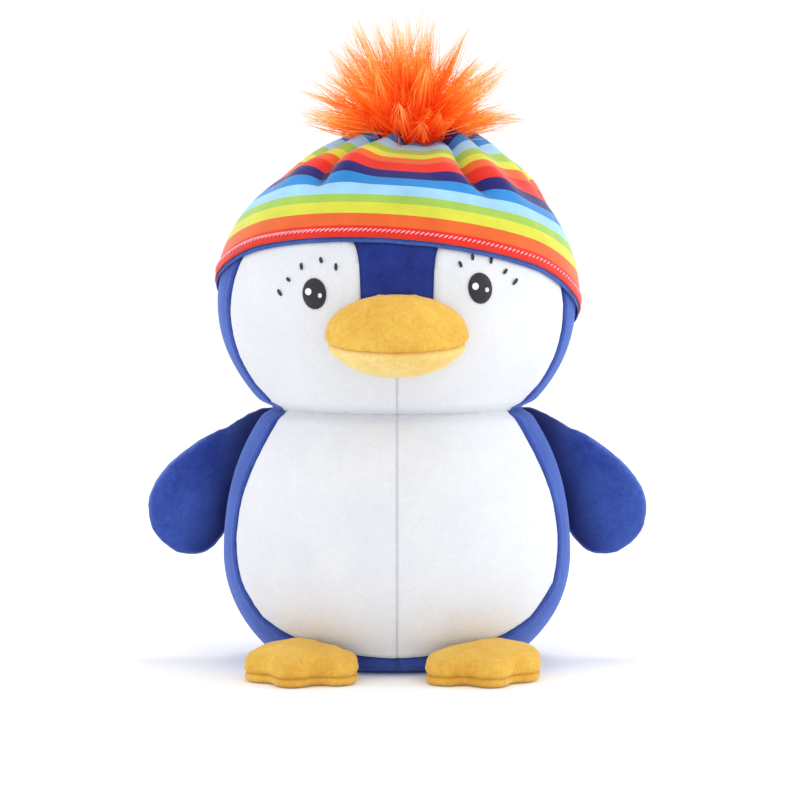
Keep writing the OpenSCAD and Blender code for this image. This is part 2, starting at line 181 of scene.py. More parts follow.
def jersey_nodes(tree, given):
    """Fine knitted jersey: rows of small loops across the cloth's own width and height."""
    cloth = node(tree, "ShaderNodeUVMap", {"uv_map": "cloth"}).outputs["UV"]
    parts = node(tree, "ShaderNodeSeparateXYZ", None, {0: cloth}).outputs
    across = calc(tree, "SINE", calc(tree, "MULTIPLY", parts["X"], 3300.0))
    up = calc(tree, "SINE", calc(tree, "MULTIPLY", parts["Y"], 900.0))
    loops = calc(tree, "MULTIPLY", across, up)
    wear = noise_of(tree, object_coordinates(tree), 60.0, 3.0)
    fuzz = noise_of(tree, object_coordinates(tree), 1500.0, 2.0)
    painted_fold_shade = node(tree, "ShaderNodeAttribute", {"attribute_name": "painted_fold_shade"}).outputs["Fac"]
    shade = mix(tree, 1.0, given["Color"], spread(tree, wear, 0.3, 0.7, 0.9, 1.08), "MULTIPLY")
    # Painted shade deep in the pleats' valleys.
    shade = mix(tree, 1.0, shade, spread(tree, painted_fold_shade, 0.0, 1.0, 1.0, 0.45), "MULTIPLY")
    shade = mix(tree, 1.0, shade, spread(tree, loops, -1.0, 1.0, 0.94, 1.03), "MULTIPLY")
    height = calc(tree, "ADD", calc(tree, "MULTIPLY", loops, 0.3), fuzz)
    return {
        "Color": shade,
        "Roughness": spread(tree, fuzz, 0.3, 0.7, 0.7, 0.9),
        "Normal": bump(tree, height, given["Depth"], 0.25 * MM),
    }


def thread_nodes(tree, given):
    """Twisted thread or woven ribbon: fine diagonal strands and small changes of shade."""
    place = object_coordinates(tree)
    bands = {"Vector": place, "Scale": 420.0}
    twist = node(tree, "ShaderNodeTexWave", {"bands_direction": "DIAGONAL"}, bands).outputs["Fac"]
    shade = noise_of(tree, place, 300.0, 2.0)
    tone = mix(tree, 1.0, given["Color"], spread(tree, shade, 0.3, 0.7, 0.86, 1.12), "MULTIPLY")
    return {
        "Color": mix(tree, 1.0, tone, spread(tree, twist, 0.0, 1.0, 0.85, 1.05), "MULTIPLY"),
        "Roughness": spread(tree, shade, 0.3, 0.7, 0.45, 0.65),
        "Normal": bump(tree, twist, given["Depth"], 0.15 * MM),
    }


COLOUR, FLOAT = "NodeSocketColor", "NodeSocketFloat"
GREY = (0.5, 0.5, 0.5, 1.0)
plush_group = shader_group(
    "short_pile",
    [
        ("Color", COLOUR, GREY),
        ("Brushed", COLOUR, GREY),
        ("Shadow", COLOUR, GREY),
        ("Seam", FLOAT, 0.5),
        ("Pile", FLOAT, 1100.0),
        ("Dark grain", FLOAT, 0.9),
        ("Depth", FLOAT, 0.5),
    ],
    plush_nodes,
)
jersey_group = shader_group("knitted_jersey", [("Color", COLOUR, GREY), ("Depth", FLOAT, 0.5)], jersey_nodes)
thread_group = shader_group("twisted_thread", [("Color", COLOUR, GREY), ("Depth", FLOAT, 0.5)], thread_nodes)


def material(name, group, group_inputs, sheen=0.0, sheen_tint=(1, 1, 1, 1), gloss=0.3):
    """A material whose colour, roughness and normal come from a group, with its constants on the shader."""
    made = bpy.data.materials.new(name)
    made.use_nodes = True
    tree = made.node_tree
    tree.nodes.clear()
    finish = node(tree, "ShaderNodeGroup", {"node_tree": group}, None)
    for label, value in group_inputs.items():
        finish.inputs[label].default_value = value
    shader = node(
        tree,
        "ShaderNodeBsdfPrincipled",
        None,
        {
            "Base Color": finish.outputs["Color"],
            "Roughness": finish.outputs["Roughness"],
            "Normal": finish.outputs["Normal"],
            "Sheen Weight": sheen,
            "Sheen Roughness": 0.45,
            "Sheen Tint": sheen_tint,
            "Specular IOR Level": gloss,
        },
    )
    node(tree, "ShaderNodeOutputMaterial", None, {"Surface": shader.outputs[0]})
    return made, finish


def plush(name, colour, brushed, shadow, sheen, tint, seam=0.5, pile=1100.0, depth=0.5, dark_grain=0.88):
    inputs = {
        "Color": colour,
        "Brushed": brushed,
        "Shadow": shadow,
        "Seam": seam,
        "Pile": pile,
        "Depth": depth,
        "Dark grain": dark_grain,
    }
    return material(name, plush_group, inputs, sheen, tint, 0.15)[0]


def thread_finish(name, colour, sheen=0.25, depth=0.4, gloss=0.4):
    return material(name, thread_group, {"Color": colour, "Depth": depth}, sheen, (1, 1, 1, 1), gloss)[0]


white_plush = plush(
    "white_plush", srgb(216, 219, 226), srgb(223, 225, 230), srgb(186, 188, 196), 0.25, srgb(255, 255, 255),
    seam=0.2, depth=0.16, dark_grain=0.965,
)
blue_plush = plush(
    "blue_plush", srgb(42, 62, 146), srgb(60, 88, 172), srgb(16, 20, 66), 0.9, srgb(140, 170, 245),
)
brow_plush = plush(
    "brow_plush", srgb(30, 42, 116), srgb(42, 60, 140), srgb(18, 24, 76), 0.35, srgb(90, 110, 200),
)
golden_plush = plush(
    "golden_plush", srgb(214, 160, 60), srgb(232, 188, 84), srgb(176, 108, 26), 0.45, srgb(255, 226, 150),
)
pale_gold_plush = plush(
    "pale_gold_plush", srgb(230, 194, 108), srgb(242, 216, 144), srgb(190, 132, 48), 0.5, srgb(255, 236, 180),
)
lining_cloth = plush(
    "blue_lining", srgb(58, 84, 160), srgb(78, 106, 182), srgb(24, 30, 84), 0.4, srgb(150, 170, 230),
    depth=0.7,
)
fibre = plush(
    "polyester_fibre", srgb(238, 238, 236), srgb(250, 250, 248), srgb(200, 200, 198), 0.3,
    srgb(255, 255, 255), pile=400.0, depth=1.0,
)
fur_backing = plush(
    "fur_backing", srgb(226, 76, 22), srgb(240, 96, 34), srgb(160, 44, 12), 0.3, srgb(255, 150, 90),
    pile=800.0,
)
pouch_cloth = plush(
    "pouch_cloth", srgb(214, 214, 210), srgb(226, 226, 222), srgb(170, 170, 166), 0.1, srgb(255, 255, 255),
    pile=1700.0,
)
pellet_beads = plush(
    "pellet_beads", srgb(198, 200, 206), srgb(224, 226, 230), srgb(120, 120, 126), 0.0, srgb(255, 255, 255),
    pile=330.0, depth=1.0,
)
black_thread = thread_finish("black_thread", srgb(36, 33, 40), sheen=0.35)
white_thread = thread_finish("white_thread", srgb(246, 246, 248))
blue_thread = thread_finish("blue_thread", srgb(44, 62, 140))
pink_thread = thread_finish("pink_thread", srgb(252, 168, 176))
red_thread = thread_finish("red_thread", srgb(206, 40, 34))
label_ribbon = thread_finish("label_ribbon", srgb(236, 236, 234), depth=0.15)

# The printed stripes' colours from the hem upwards, and their widths on the cloth: the print repeats.
STRIPE_COLOURS = [
    srgb(226, 44, 30),
    srgb(228, 100, 40),
    srgb(214, 214, 66),
    srgb(158, 196, 78),
    srgb(156, 206, 236),
    srgb(46, 134, 206),
    srgb(36, 30, 108),
]
STRIPE_WIDTHS = [6.7, 8.0, 7.2, 5.9, 7.6, 6.1, 6.4, 8.0, 5.5, 5.5, 5.5, 7.0, 6.0, 7.0, 7.0, 6.0, 6.6]
HAT_CLOTH = sum(STRIPE_WIDTHS) * MM


def striped_jersey_material():
    """Printed stripes that follow the cloth's own height."""
    made, finish = material("striped_jersey", jersey_group, {"Depth": 0.45}, 0.3, (1, 1, 1, 1), 0.2)
    tree = made.node_tree
    cloth = node(tree, "ShaderNodeUVMap", {"uv_map": "cloth"}).outputs["UV"]
    up = node(tree, "ShaderNodeSeparateXYZ", None, {0: cloth}).outputs["Y"]
    ramp = node(tree, "ShaderNodeValToRGB", None, {"Fac": up})
    ramp.color_ramp.interpolation = "CONSTANT"
    elements = ramp.color_ramp.elements
    elements.remove(elements[1])
    start = 0.0
    for index, width in enumerate(STRIPE_WIDTHS):
        element = elements.new(start * MM / HAT_CLOTH) if index else elements[0]
        element.color = STRIPE_COLOURS[index % len(STRIPE_COLOURS)]
        start += width
    tree.links.new(ramp.outputs["Color"], finish.inputs["Color"])
    return made


def fur_material():
    """Long pile that is red-orange at its root and pale at its tips, with its own shade for each tuft, and a
    faint painted glow.
    """
    made = bpy.data.materials.new("orange_fur")
    made.use_nodes = True
    tree = made.node_tree
    tree.nodes.clear()
    from_root = node(tree, "ShaderNodeAttribute", {"attribute_name": "from_root"}).outputs["Vector"]
    reach = vector_calc(tree, "LENGTH", {0: from_root})["Value"]
    way = vector_calc(tree, "NORMALIZE", {0: from_root})[0]
    tuft = noise_of(tree, way, 9.0, 3.0)
    strand = noise_of(tree, way, 60.0, 2.0)
    share = spread(tree, reach, 8 * MM, 66 * MM)
    share = calc(tree, "ADD", share, calc(tree, "MULTIPLY", calc(tree, "SUBTRACT", tuft, 0.5), 0.5))
    ramp = node(tree, "ShaderNodeValToRGB", None, {"Fac": share})
    elements = ramp.color_ramp.elements
    elements[0].color = srgb(248, 40, 8)
    elements[1].color = srgb(255, 152, 80)
    for position, colour in ((0.35, srgb(252, 66, 12)), (0.68, srgb(255, 98, 30))):
        elements.new(position).color = colour
    shade = mix(tree, 1.0, ramp.outputs["Color"], spread(tree, strand, 0.3, 0.7, 0.8, 1.2), "MULTIPLY")
    shader = node(
        tree,
        "ShaderNodeBsdfPrincipled",
        None,
        {
            "Base Color": shade,
            "Roughness": 0.6,
            "Sheen Weight": 0.3,
            "Sheen Tint": srgb(255, 190, 140),
            "Specular IOR Level": 0.15,
            "Subsurface Weight": 0.7,
            "Subsurface Radius": (1.0, 0.5, 0.2),
            "Subsurface Scale": 4 * MM,
            # Painted light: a faint emission of the fur's own colour brightens it as if light passed through
            # the strands.
            "Emission Color": shade,
            "Emission Strength": 0.15,
        },
    )
    node(tree, "ShaderNodeOutputMaterial", None, {"Surface": shader.outputs[0]})
    return made


striped_jersey = striped_jersey_material()
orange_fur = fur_material()

# ---------------------------------------------------------------- mesh helpers


def mesh_object(name, bm, finish=None):
    """A smooth mesh object at the origin from a bmesh."""
    mesh = bpy.data.meshes.new(name)
    bm.to_mesh(mesh)
    bm.free()
    mesh.shade_smooth()
    made = bpy.data.objects.new(name, mesh)
    scene.collection.objects.link(made)
    if finish:
        mesh.materials.append(finish)
    return made


def settle(obj):
    """Turns obj and its modifiers into a plain mesh."""
    bpy.context.view_layer.update()
    mesh = bpy.data.meshes.new_from_object(obj.evaluated_get(bpy.context.evaluated_depsgraph_get()))
    obj.modifiers.clear()
    obj.data = mesh
    return obj


def even_out(obj, levels):
    """Adds rounds of subdivision and makes them real."""
    if levels:
        modifier = obj.modifiers.new("even out", "SUBSURF")
        modifier.levels = modifier.render_levels = levels
        settle(obj)
    return obj


def thicken(obj, thickness):
    """Gives a sheet of cloth its wall, inwards."""
    modifier = obj.modifiers.new("wall", "SOLIDIFY")
    modifier.thickness = thickness
    modifier.offset = -1
    modifier.use_even_offset = False
    return settle(obj)


def coordinates(mesh):
    flat = np.zeros(len(mesh.vertices) * 3, np.float32)
    mesh.vertices.foreach_get("co", flat)
    return flat.reshape(-1, 3)


def open_mesh(obj):
    bm = bmesh.new()
    bm.from_mesh(obj.data)
    bm.normal_update()
    return bm


def mapped_grid(columns, rows, place):
    """A closed skirt of cloth: place says where its point (across, up), both 0 to 1, goes."""
    bm = bmesh.new()
    bmesh.ops.create_grid(bm, x_segments=columns, y_segments=rows, size=0.5)
    cloth = bm.loops.layers.uv.new("cloth")
    for face in bm.faces:
        for loop in face.loops:
            loop[cloth].uv = (loop.vert.co.x + 0.5, loop.vert.co.y + 0.5)
    for v in bm.verts:
        v.co = place(v.co.x + 0.5, v.co.y + 0.5)
    bmesh.ops.remove_doubles(bm, verts=bm.verts, dist=1e-6)
    bmesh.ops.recalc_face_normals(bm, faces=bm.faces)
    return bm


def strands(name, paths, finish, sides=0):
    """Tapered round strands, one for each path of (point, radius) pairs, as one mesh."""
    curve = bpy.data.curves.new(name, "CURVE")
    curve.dimensions = "3D"
    curve.bevel_depth = 1.0
    curve.bevel_resolution = sides
    curve.use_fill_caps = True
    for path in paths:
        spline = curve.splines.new("POLY")
        spline.points.add(len(path) - 1)
        for point, (place, radius) in zip(spline.points, path):
            point.co = (*place, 1)
            point.radius = radius
    drawn = bpy.data.objects.new(name, curve)
    scene.collection.objects.link(drawn)
    bpy.context.view_layer.update()
    mesh = bpy.data.meshes.new_from_object(drawn.evaluated_get(bpy.context.evaluated_depsgraph_get()))
    bpy.data.objects.remove(drawn)
    mesh.shade_smooth()
    mesh.materials.clear()
    mesh.materials.append(finish)
    made = bpy.data.objects.new(name, mesh)
    scene.collection.objects.link(made)
    return made


# ---------------------------------------------------------------- stuffed forms


def ball(cuts):
    """A unit ball of even four-sided faces."""
    bm = bmesh.new()
    bmesh.ops.create_cube(bm, size=2)
    bmesh.ops.subdivide_edges(bm, edges=bm.edges[:], cuts=cuts, use_grid_fill=True)
    for v in bm.verts:
        v.co = Vector([math.tan(c * math.pi / 4) for c in v.co]).normalized()
    return bm


SLACK = -0.9 * MM


def torso_form():
    """The body's pear shape, flat under its base and at the neck, a little slack before it is stuffed."""
    bm = ball(23)
    for v in bm.verts:
        x, y, z = v.co
        curve = SHOULDER_CURVE if z > 0 else SEAT_CURVE
        v.co = (x * (body_half.x - SLACK), y * (body_half.y - SLACK), BELLY_LEVEL + z * (curve - SLACK))
        v.co.z = min(max(v.co.z, 0), neck_level + 2 * MM)
    return mesh_object("torso_form", bm)


def head_form():
    """The head's round shape, flat at the neck."""
    bm = ball(23)
    for v in bm.verts:
        v.co = head_middle + Vector([c * (size - SLACK) for c, size in zip(v.co, head_size)])
        v.co.z = max(v.co.z, neck_level - 2 * MM)
    return mesh_object("head_form", bm)


def island_of(start):
    """The vertices that edges join to start."""
    island, waiting = {start}, [start]
    while waiting:
        here = waiting.pop()
        for edge in here.link_edges:
            other = edge.other_vert(here)
            if other not in island:
                island.add(other)
                waiting.append(other)
    return island


def keep_outer_skin(obj):
    """Deletes the small closed shells inside the largest one."""
    bm = open_mesh(obj)
    left, largest = set(bm.verts), set()
    while left:
        island = island_of(next(iter(left)))
        left -= island
        largest = max(largest, island, key=len)
    bmesh.ops.delete(bm, geom=[v for v in bm.verts if v not in largest], context="VERTS")
    bm.to_mesh(obj.data)
    bm.free()


def form_of(name, node_names, voxel, extra=None, rounds=2):
    """An even, closed mesh round CAD covers and their filling, and round an extra mesh if there is one."""
    bm = bmesh.new()
    for node_name in node_names:
        bm.from_mesh(nodes[node_name].data)
    if extra:
        bm.from_mesh(extra)
    made = mesh_object(name + "_form", bm)
    remesh = made.modifiers.new("even mesh", "REMESH")
    remesh.mode = "VOXEL"
    remesh.voxel_size = voxel
    settle(made)
    smooth = made.modifiers.new("soften", "SMOOTH")
    smooth.factor = 0.5
    smooth.iterations = rounds
    settle(made)
    keep_outer_skin(made)
    return made


def shoulder(side):
    """The wing's root, which runs up behind the body's side to the neck seam."""
    ball_mesh = bmesh.new()
    bmesh.ops.create_icosphere(ball_mesh, subdivisions=4, radius=1)
    along = Vector((side * 44, 0, -42)).normalized()
    beside = Vector((along.z, 0, -along.x))
    middle = Vector((side * 87 * MM, 24 * MM, 121 * MM))
    for v in ball_mesh.verts:
        x, y, z = v.co
        v.co = middle + along * x * 33 * MM + beside * z * 17 * MM + Vector((0, y * 11 * MM, 0))
    mesh = bpy.data.meshes.new("shoulder")
    ball_mesh.to_mesh(mesh)
    ball_mesh.free()
    return mesh


pressed = []


def stuff(form, cap, held, pressure=4.0):
    """Readies a form for the pressure of its stuffing: held gives how firmly each place stays, 0 to 1."""
    group = form.vertex_groups.new(name="held")
    for v in form.data.vertices:
        firmness = held(v.co)
        if firmness > 0:
            group.add([v.index], firmness, "REPLACE")
    cloth = form.modifiers.new("stuffing pressure", "CLOTH")
    cloth.settings.quality = 5
    cloth.settings.mass = 0.2
    cloth.settings.tension_stiffness = 25
    cloth.settings.compression_stiffness = 10
    cloth.settings.shear_stiffness = 8
    cloth.settings.bending_stiffness = 0.4
    cloth.settings.use_pressure = True
    cloth.settings.uniform_pressure_force = pressure
    cloth.settings.effector_weights.gravity = 0
    cloth.settings.vertex_group_mass = "held"
    cloth.collision_settings.use_collision = False
    pressed.append((form, cap))


SETTLING_FRAMES = 20


def press_stuffing():
    """Lets the pressure swell every readied form, and keeps no point further than its cap from its place."""
    slack = [coordinates(form.data).copy() for form, _ in pressed]
    for number in range(1, SETTLING_FRAMES + 1):
        scene.frame_set(number)
    depsgraph = bpy.context.evaluated_depsgraph_get()
    swollen = [coordinates(form.evaluated_get(depsgraph).data).copy() for form, _ in pressed]
    for (form, cap), before, after in zip(pressed, slack, swollen):
        form.modifiers.clear()
        move = after - before
        length = np.maximum(np.linalg.norm(move, axis=1, keepdims=True), 1e-9)
        move *= np.minimum(1, cap / length)
        form.data.vertices.foreach_set("co", (before + move).ravel())
        form.data.update()
    scene.frame_set(1)


def near(value, low, high):
    """0 at low, 1 at high and beyond, turning smoothly between them."""
    share = min(max((value - low) / (high - low), 0), 1)
    return share * share * (3 - 2 * share)


def reshape(form, change):
    """Moves each point of a form by what change gives for it."""
    for v in form.data.vertices:
        v.co += change(v.co)


def paint_root_shade(form, painted_shade):
    """Notes how much shade is painted on each point, 0 to 1: painted shade where the wing lies against the
    body.
    """
    layer = form.data.attributes.new("painted_root_shade", "FLOAT", "POINT")
    for v, value in zip(form.data.vertices, layer.data):
        value.value = painted_shade(v.co)


def held_torso(place):
    at_neck = near(place.z, neck_level - 16 * MM, neck_level - 4 * MM)
    at_base = near(place.z, 6 * MM, 1 * MM)
    return max(at_neck, at_base)


def held_head(place):
    at_neck = near(place.z, neck_level + 16 * MM, neck_level + 4 * MM)
    under_hat = near(place.z, head_middle.z + 20 * MM, head_middle.z + 40 * MM)
    return max(at_neck, under_hat)


torso = torso_form()
head = head_form()
stuff(torso, 2.6 * MM, held_torso)
stuff(head, 2.6 * MM, held_head)


def foot_swell(place):
    """Puffs the toes out and towards the front again after their edges are rounded."""
    forwards = 0.13 * min(place.y + 60 * MM, 0)
    return Vector((-3 * MM * near(place.y, -62 * MM, -80 * MM), forwards, 0.10 * place.z))


wing_pivots = {}
wings = {}
feet = {}
for side, name in SIDE_NAMES.items():
    wing_low, wing_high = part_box(f"wing_{name}_front")
    root_x = wing_high.x if side == LEFT else wing_low.x
    wing_pivots[side] = Vector((root_x + side * 6 * MM, 24 * MM, 137 * MM))
    wing_nodes = [f"wing_{name}_{part}" for part in ("front", "back", "stuffing")]
    wings[side] = form_of(f"wing_{name}", wing_nodes, 3.2 * MM, shoulder(side), rounds=6)
    reshape(wings[side], lambda p, s=side: Vector((s * 0.09 * max(abs(p.x) - 86 * MM, 0), 0, 0)))
    # Painted shade on the wing's inner part, near the body.
    paint_root_shade(wings[side], lambda p: 0.85 * near(abs(p.x) + 0.25 * (p.z - 0.1), 122 * MM, 92 * MM))
    stuff(wings[side], 2.4 * MM, lambda p, root=wing_pivots[side]: near((p - root).length, 22 * MM, 12 * MM))
    foot_nodes = [f"foot_{name}_{part}" for part in ("top", "sole", "stuffing")]
    feet[side] = form_of(f"foot_{name}", foot_nodes, 2.8 * MM, rounds=7)
    reshape(feet[side], foot_swell)
    stuff(feet[side], 1.4 * MM, lambda p: max(near(p.y, -64 * MM, -58 * MM), near(p.z, 2 * MM, 0.5 * MM)))
beak = form_of("beak", ["beak_upper", "beak_lower", "beak_stuffing"], 2.6 * MM)
stuff(beak, 1.2 * MM, lambda p: near(p.y, -head_half.y + 10 * MM, -head_half.y + 22 * MM))
press_stuffing()

# ---------------------------------------------------------------- sewing


class PanelFinder:
    """Tells which CAD cloth panel is nearest to a point."""

    def __init__(self, names):
        verts, faces, self.owners = [], [], []
        for index, name in enumerate(names):
            mesh = nodes[name].data
            first = len(verts)
            verts += [v.co.copy() for v in mesh.vertices]
            faces += [[first + i for i in polygon.vertices] for polygon in mesh.polygons]
            self.owners += [index] * len(mesh.polygons)
        self.tree = BVHTree.FromPolygons(verts, faces)

        self.single = [BVHTree.FromPolygons(*self.geometry(nodes[name].data)) for name in names]

    @staticmethod
    def geometry(mesh):
        return [v.co.copy() for v in mesh.vertices], [list(polygon.vertices) for polygon in mesh.polygons]

    def at(self, point):
        return self.owners[self.tree.find_nearest(point)[2]]

    def to_seam(self, point, pair):
        """How far point has to move to lie over the seam between two panels."""
        spots = [self.single[index].find_nearest(point) for index in pair]
        near_one, far_one = (0, 1) if spots[0][3] < spots[1][3] else (1, 0)
        here = spots[near_one][0]
        return self.single[pair[far_one]].find_nearest(here)[0] - here


def seam_edges(bm, ids):
    """The edges between two panels, each with its pair of panels."""
    found = {}
    for edge in bm.edges:
        if len(edge.link_faces) == 2:
            a, b = (face[ids] for face in edge.link_faces)
            if a != b:
                found[edge] = (min(a, b), max(a, b))
    return found


def square_off(bm, ids):
    """Hands stray faces to the panel round them, so that each border is a single plain line."""
    for _ in range(3):
        for face in bm.faces:
            around = [other[ids] for edge in face.edges for other in edge.link_faces if other is not face]
            others = [i for i in around if i != face[ids]]
            if len(others) >= 3:
                face[ids] = max(set(others), key=others.count)
        for v in bm.verts:
            corners = [loop.face for loop in v.link_loops]
            if len(corners) == 4:
                borders = sum(1 for e in v.link_edges if e.link_faces[0][ids] != e.link_faces[-1][ids])
                if borders == 4 and len({face[ids] for face in corners}) == 2:
                    corners[0][ids] = next(face[ids] for face in corners if face[ids] != corners[0][ids])


def slide(v, place):
    """Moves a vertex towards a place, but only along the surface."""
    shift = place - v.co
    v.co += shift - v.normal * shift.dot(v.normal)


def calm(bm, partners, rounds):
    """Evens out the lines that the partners make, without drawing them into the form."""
    for turn in range(rounds):
        if turn % 5 == 0:
            bm.normal_update()
        moved = {v: v.co * 0.5 + (p[0].co + p[1].co) * 0.25 for v, p in partners.items() if len(p) == 2}
        for v, place in moved.items():
            slide(v, place)


def even_seams(bm, ids, finder, rounds=14, calming=6):
    """Turns the stepped borders between panels into smooth seam lines that follow the CAD's."""
    partners, pairs = {}, {}
    for edge, pair in seam_edges(bm, ids).items():
        for v in edge.verts:
            partners.setdefault(v, []).append(edge.other_vert(v))
            pairs.setdefault(v, set()).add(pair)
    calm(bm, partners, rounds)
    for _ in range(3):
        bm.normal_update()
        for v, found in pairs.items():
            if len(found) == 1:
                slide(v, v.co + finder.to_seam(v.co, next(iter(found))))
        calm(bm, partners, calming)
    beside = {edge.other_vert(v) for v in partners for edge in v.link_edges} - set(partners)
    beyond = {edge.other_vert(v) for v in beside for edge in v.link_edges} - set(partners)
    for _ in range(5):
        bmesh.ops.smooth_vert(
            bm, verts=list(beside | beyond), factor=0.5, use_axis_x=True, use_axis_y=True, use_axis_z=True
        )


def seam_tree(points):
    tree = KDTree(len(points))
    for index, point in enumerate(points):
        tree.insert(point, index)
    tree.balance()
    return tree


def draw_in(bm, points, depth, width, pucker, lip=0.0):
    """Draws the cloth in along a seam, with small puckers beside it and a raised lip past it."""
    tree = seam_tree(points)
    painted_shade = bm.verts.layers.float.get("seam") or bm.verts.layers.float.new("seam")
    moves = {}
    for v in bm.verts:
        distance = tree.find(v.co)[2]
        if distance > 6 * width:
            continue
        uneven = 1 + 0.15 * noise.noise(v.co * 240)
        shift = -depth * uneven * math.exp(-((distance / width) ** 2))
        shift += pucker * noise.noise(v.co * 230) * math.exp(-((distance / (2.6 * width)) ** 2))
        shift += lip * math.exp(-(((distance - 2.4 * width) / width) ** 2))
        moves[v] = v.normal * shift
        # Painted shade in the seam's groove.
        v[painted_shade] = max(v[painted_shade], math.exp(-((distance / (0.7 * width)) ** 2)))
    for v, move in moves.items():
        v.co += move


def cut_panels(bm, ids, names):
    """One object for each panel, with the cloth's thickness; bm is used up."""
    for v in bm.verts:
        v.co.z = max(v.co.z, 0)
    made = []
    for index, (name, finish) in enumerate(names):
        part = bm.copy()
        part_ids = part.faces.layers.int["panel"]
        others = [face for face in part.faces if face[part_ids] != index]
        bmesh.ops.delete(part, geom=others, context="FACES")
        made.append(thicken(mesh_object(name, part, finish), CLOTH))
    bm.free()
    return made


def filling(form, name, inset, replaced):
    """The fibre inside a cover, drawn in from it."""
    bm = open_mesh(form)
    for v in bm.verts:
        v.co -= v.normal * inset
    made = mesh_object(name, bm, fibre)
    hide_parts(replaced)
    return made


def trim(obj, height, keep_above):
    """Cuts a form off level at the neck."""
    bm = open_mesh(obj)
    geometry = bm.verts[:] + bm.edges[:] + bm.faces[:]
    bmesh.ops.bisect_plane(
        bm, geom=geometry, dist=1e-6, plane_co=(0, 0, height), plane_no=(0, 0, 1),
        clear_inner=keep_above, clear_outer=not keep_above,
    )
    bm.to_mesh(obj.data)
    bm.free()


def narrow_at_neck(obj):
    """Draws a filling in at the neck, where the cover is gathered."""
    for v in obj.data.vertices:
        off = (v.co.z - neck_level) / (9 * MM)
        narrower = 1 - 0.16 * math.exp(-(off**2))
        v.co.x *= narrower
        v.co.y *= narrower


def unevenness(obj, amount):
    """Hand-stuffed lumps, too wide and low to see as waves."""
    bm = open_mesh(obj)
    for v in bm.verts:
        v.co += v.normal * amount * noise.noise(v.co * 22)
    bm.to_mesh(obj.data)
    bm.free()


SEAM = {"depth": 1.0 * MM, "width": 1.7 * MM, "pucker": 0.14 * MM, "lip": 0.3 * MM}
FINE_SEAM = {"depth": 0.6 * MM, "width": 1.2 * MM, "pucker": 0.2 * MM, "lip": 0.08 * MM}
NECK_DRAWN = 2.6 * MM


def gather_neck(bm):
    """Draws the cloth in level to the neck's seam, where head and body meet, with gathers beside it."""
    painted_shade = bm.verts.layers.float["seam"]
    half_w, half_d = neck_half.x - NECK_DRAWN, neck_half.y - NECK_DRAWN
    for v in bm.verts:
        off = abs(v.co.z - neck_level)
        if off > 20 * MM:
            continue
        share = math.hypot(v.co.x / half_w, v.co.y / half_d)
        if share < 0.6:
            continue
        turn = math.atan2(v.co.y, v.co.x)
        gathers = 0.5 * MM * noise.noise(Vector((math.cos(turn) * 14, math.sin(turn) * 14, v.co.z * 40)))
        drawn = 1 + (1 / share - 1) * math.exp(-((off / (2.6 * MM)) ** 2))
        drawn += gathers / half_w * math.exp(-((off / (7 * MM)) ** 2)) * near(off, 0, 1.5 * MM)
        v.co.x *= drawn
        v.co.y *= drawn
        if v.is_boundary:
            v.co.z = neck_level
        # Painted shade in the neck's crease.
        v[painted_shade] = max(v[painted_shade], math.exp(-((off / (1.6 * MM)) ** 2)))


def sewn_cover(form, panels, fine_pairs, neck_above):
    """Sews a big stuffed form out of its panels: even seam lines, seams drawn in, and the neck's crease."""
    unevenness(form, 0.7 * MM)
    even_out(form, 1)
    finder = PanelFinder([node_name for node_name, _, _ in panels])
    bm = open_mesh(form)
    ids = bm.faces.layers.int.new("panel")
    for face in bm.faces:
        face[ids] = finder.at(face.calc_center_median())
    square_off(bm, ids)
    even_seams(bm, ids, finder)
    bm.to_mesh(form.data)
    bm.free()
    even_out(form, 1)
    trim(form, neck_level, neck_above)
    bm = open_mesh(form)
    ids = bm.faces.layers.int["panel"]
    even_seams(bm, ids, finder, calming=45)
    bm.normal_update()
    lines = {"plain": [], "fine": []}
    for edge, pair in seam_edges(bm, ids).items():
        kind = "fine" if pair in fine_pairs else "plain"
        lines[kind] += [v.co.copy() for v in edge.verts] + [(edge.verts[0].co + edge.verts[1].co) / 2]
    if lines["plain"]:
        draw_in(bm, lines["plain"], **SEAM)
    bm.normal_update()
    if lines["fine"]:
        draw_in(bm, lines["fine"], **FINE_SEAM)
    gather_neck(bm)
    made = cut_panels(bm, ids, [(f"{node_name}_cloth", finish) for node_name, finish, _ in panels])
    for piece, (node_name, _, slot) in zip(made, panels):
        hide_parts(node_name)
    return made


TORSO_PANELS = [
    ("belly_left", white_plush, "white_plush"),
    ("belly_right", white_plush, "white_plush"),
    ("back_left", blue_plush, "blue_plush"),
    ("back_right", blue_plush, "blue_plush"),
    ("base_panel", blue_plush, "blue_plush"),
]
HEAD_PANELS = [
    ("face_left", white_plush, "white_plush"),
    ("face_right", white_plush, "white_plush"),
    ("forehead_strip", brow_plush, "blue_plush"),
    ("head_back_left", blue_plush, "blue_plush"),
    ("head_back_right", blue_plush, "blue_plush"),
]

torso_fibre = filling(torso, "torso_filling", 4 * MM, "torso_stuffing")
narrow_at_neck(torso_fibre)
trim(torso_fibre, neck_level - 3 * MM, False)
head_fibre = filling(head, "head_filling", 4 * MM, "head_stuffing")
narrow_at_neck(head_fibre)
trim(head_fibre, neck_level + 3 * MM, True)
torso_cloth = sewn_cover(torso, TORSO_PANELS, {(0, 1)}, False)
head_cloth = sewn_cover(head, HEAD_PANELS, {(0, 1)}, True)
bpy.data.objects.remove(torso)
bpy.data.objects.remove(head)

neck = Vector((0, 0, neck_level))
for piece in [*torso_cloth, torso_fibre]:
    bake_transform(piece, "torso", "neck", start=neck - Vector((0, 0, 30 * MM)), end=neck)
for piece in [*head_cloth, head_fibre]:
    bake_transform(piece, "neck", "head", start=neck, end=neck + Vector((0, 0, 26 * MM)))


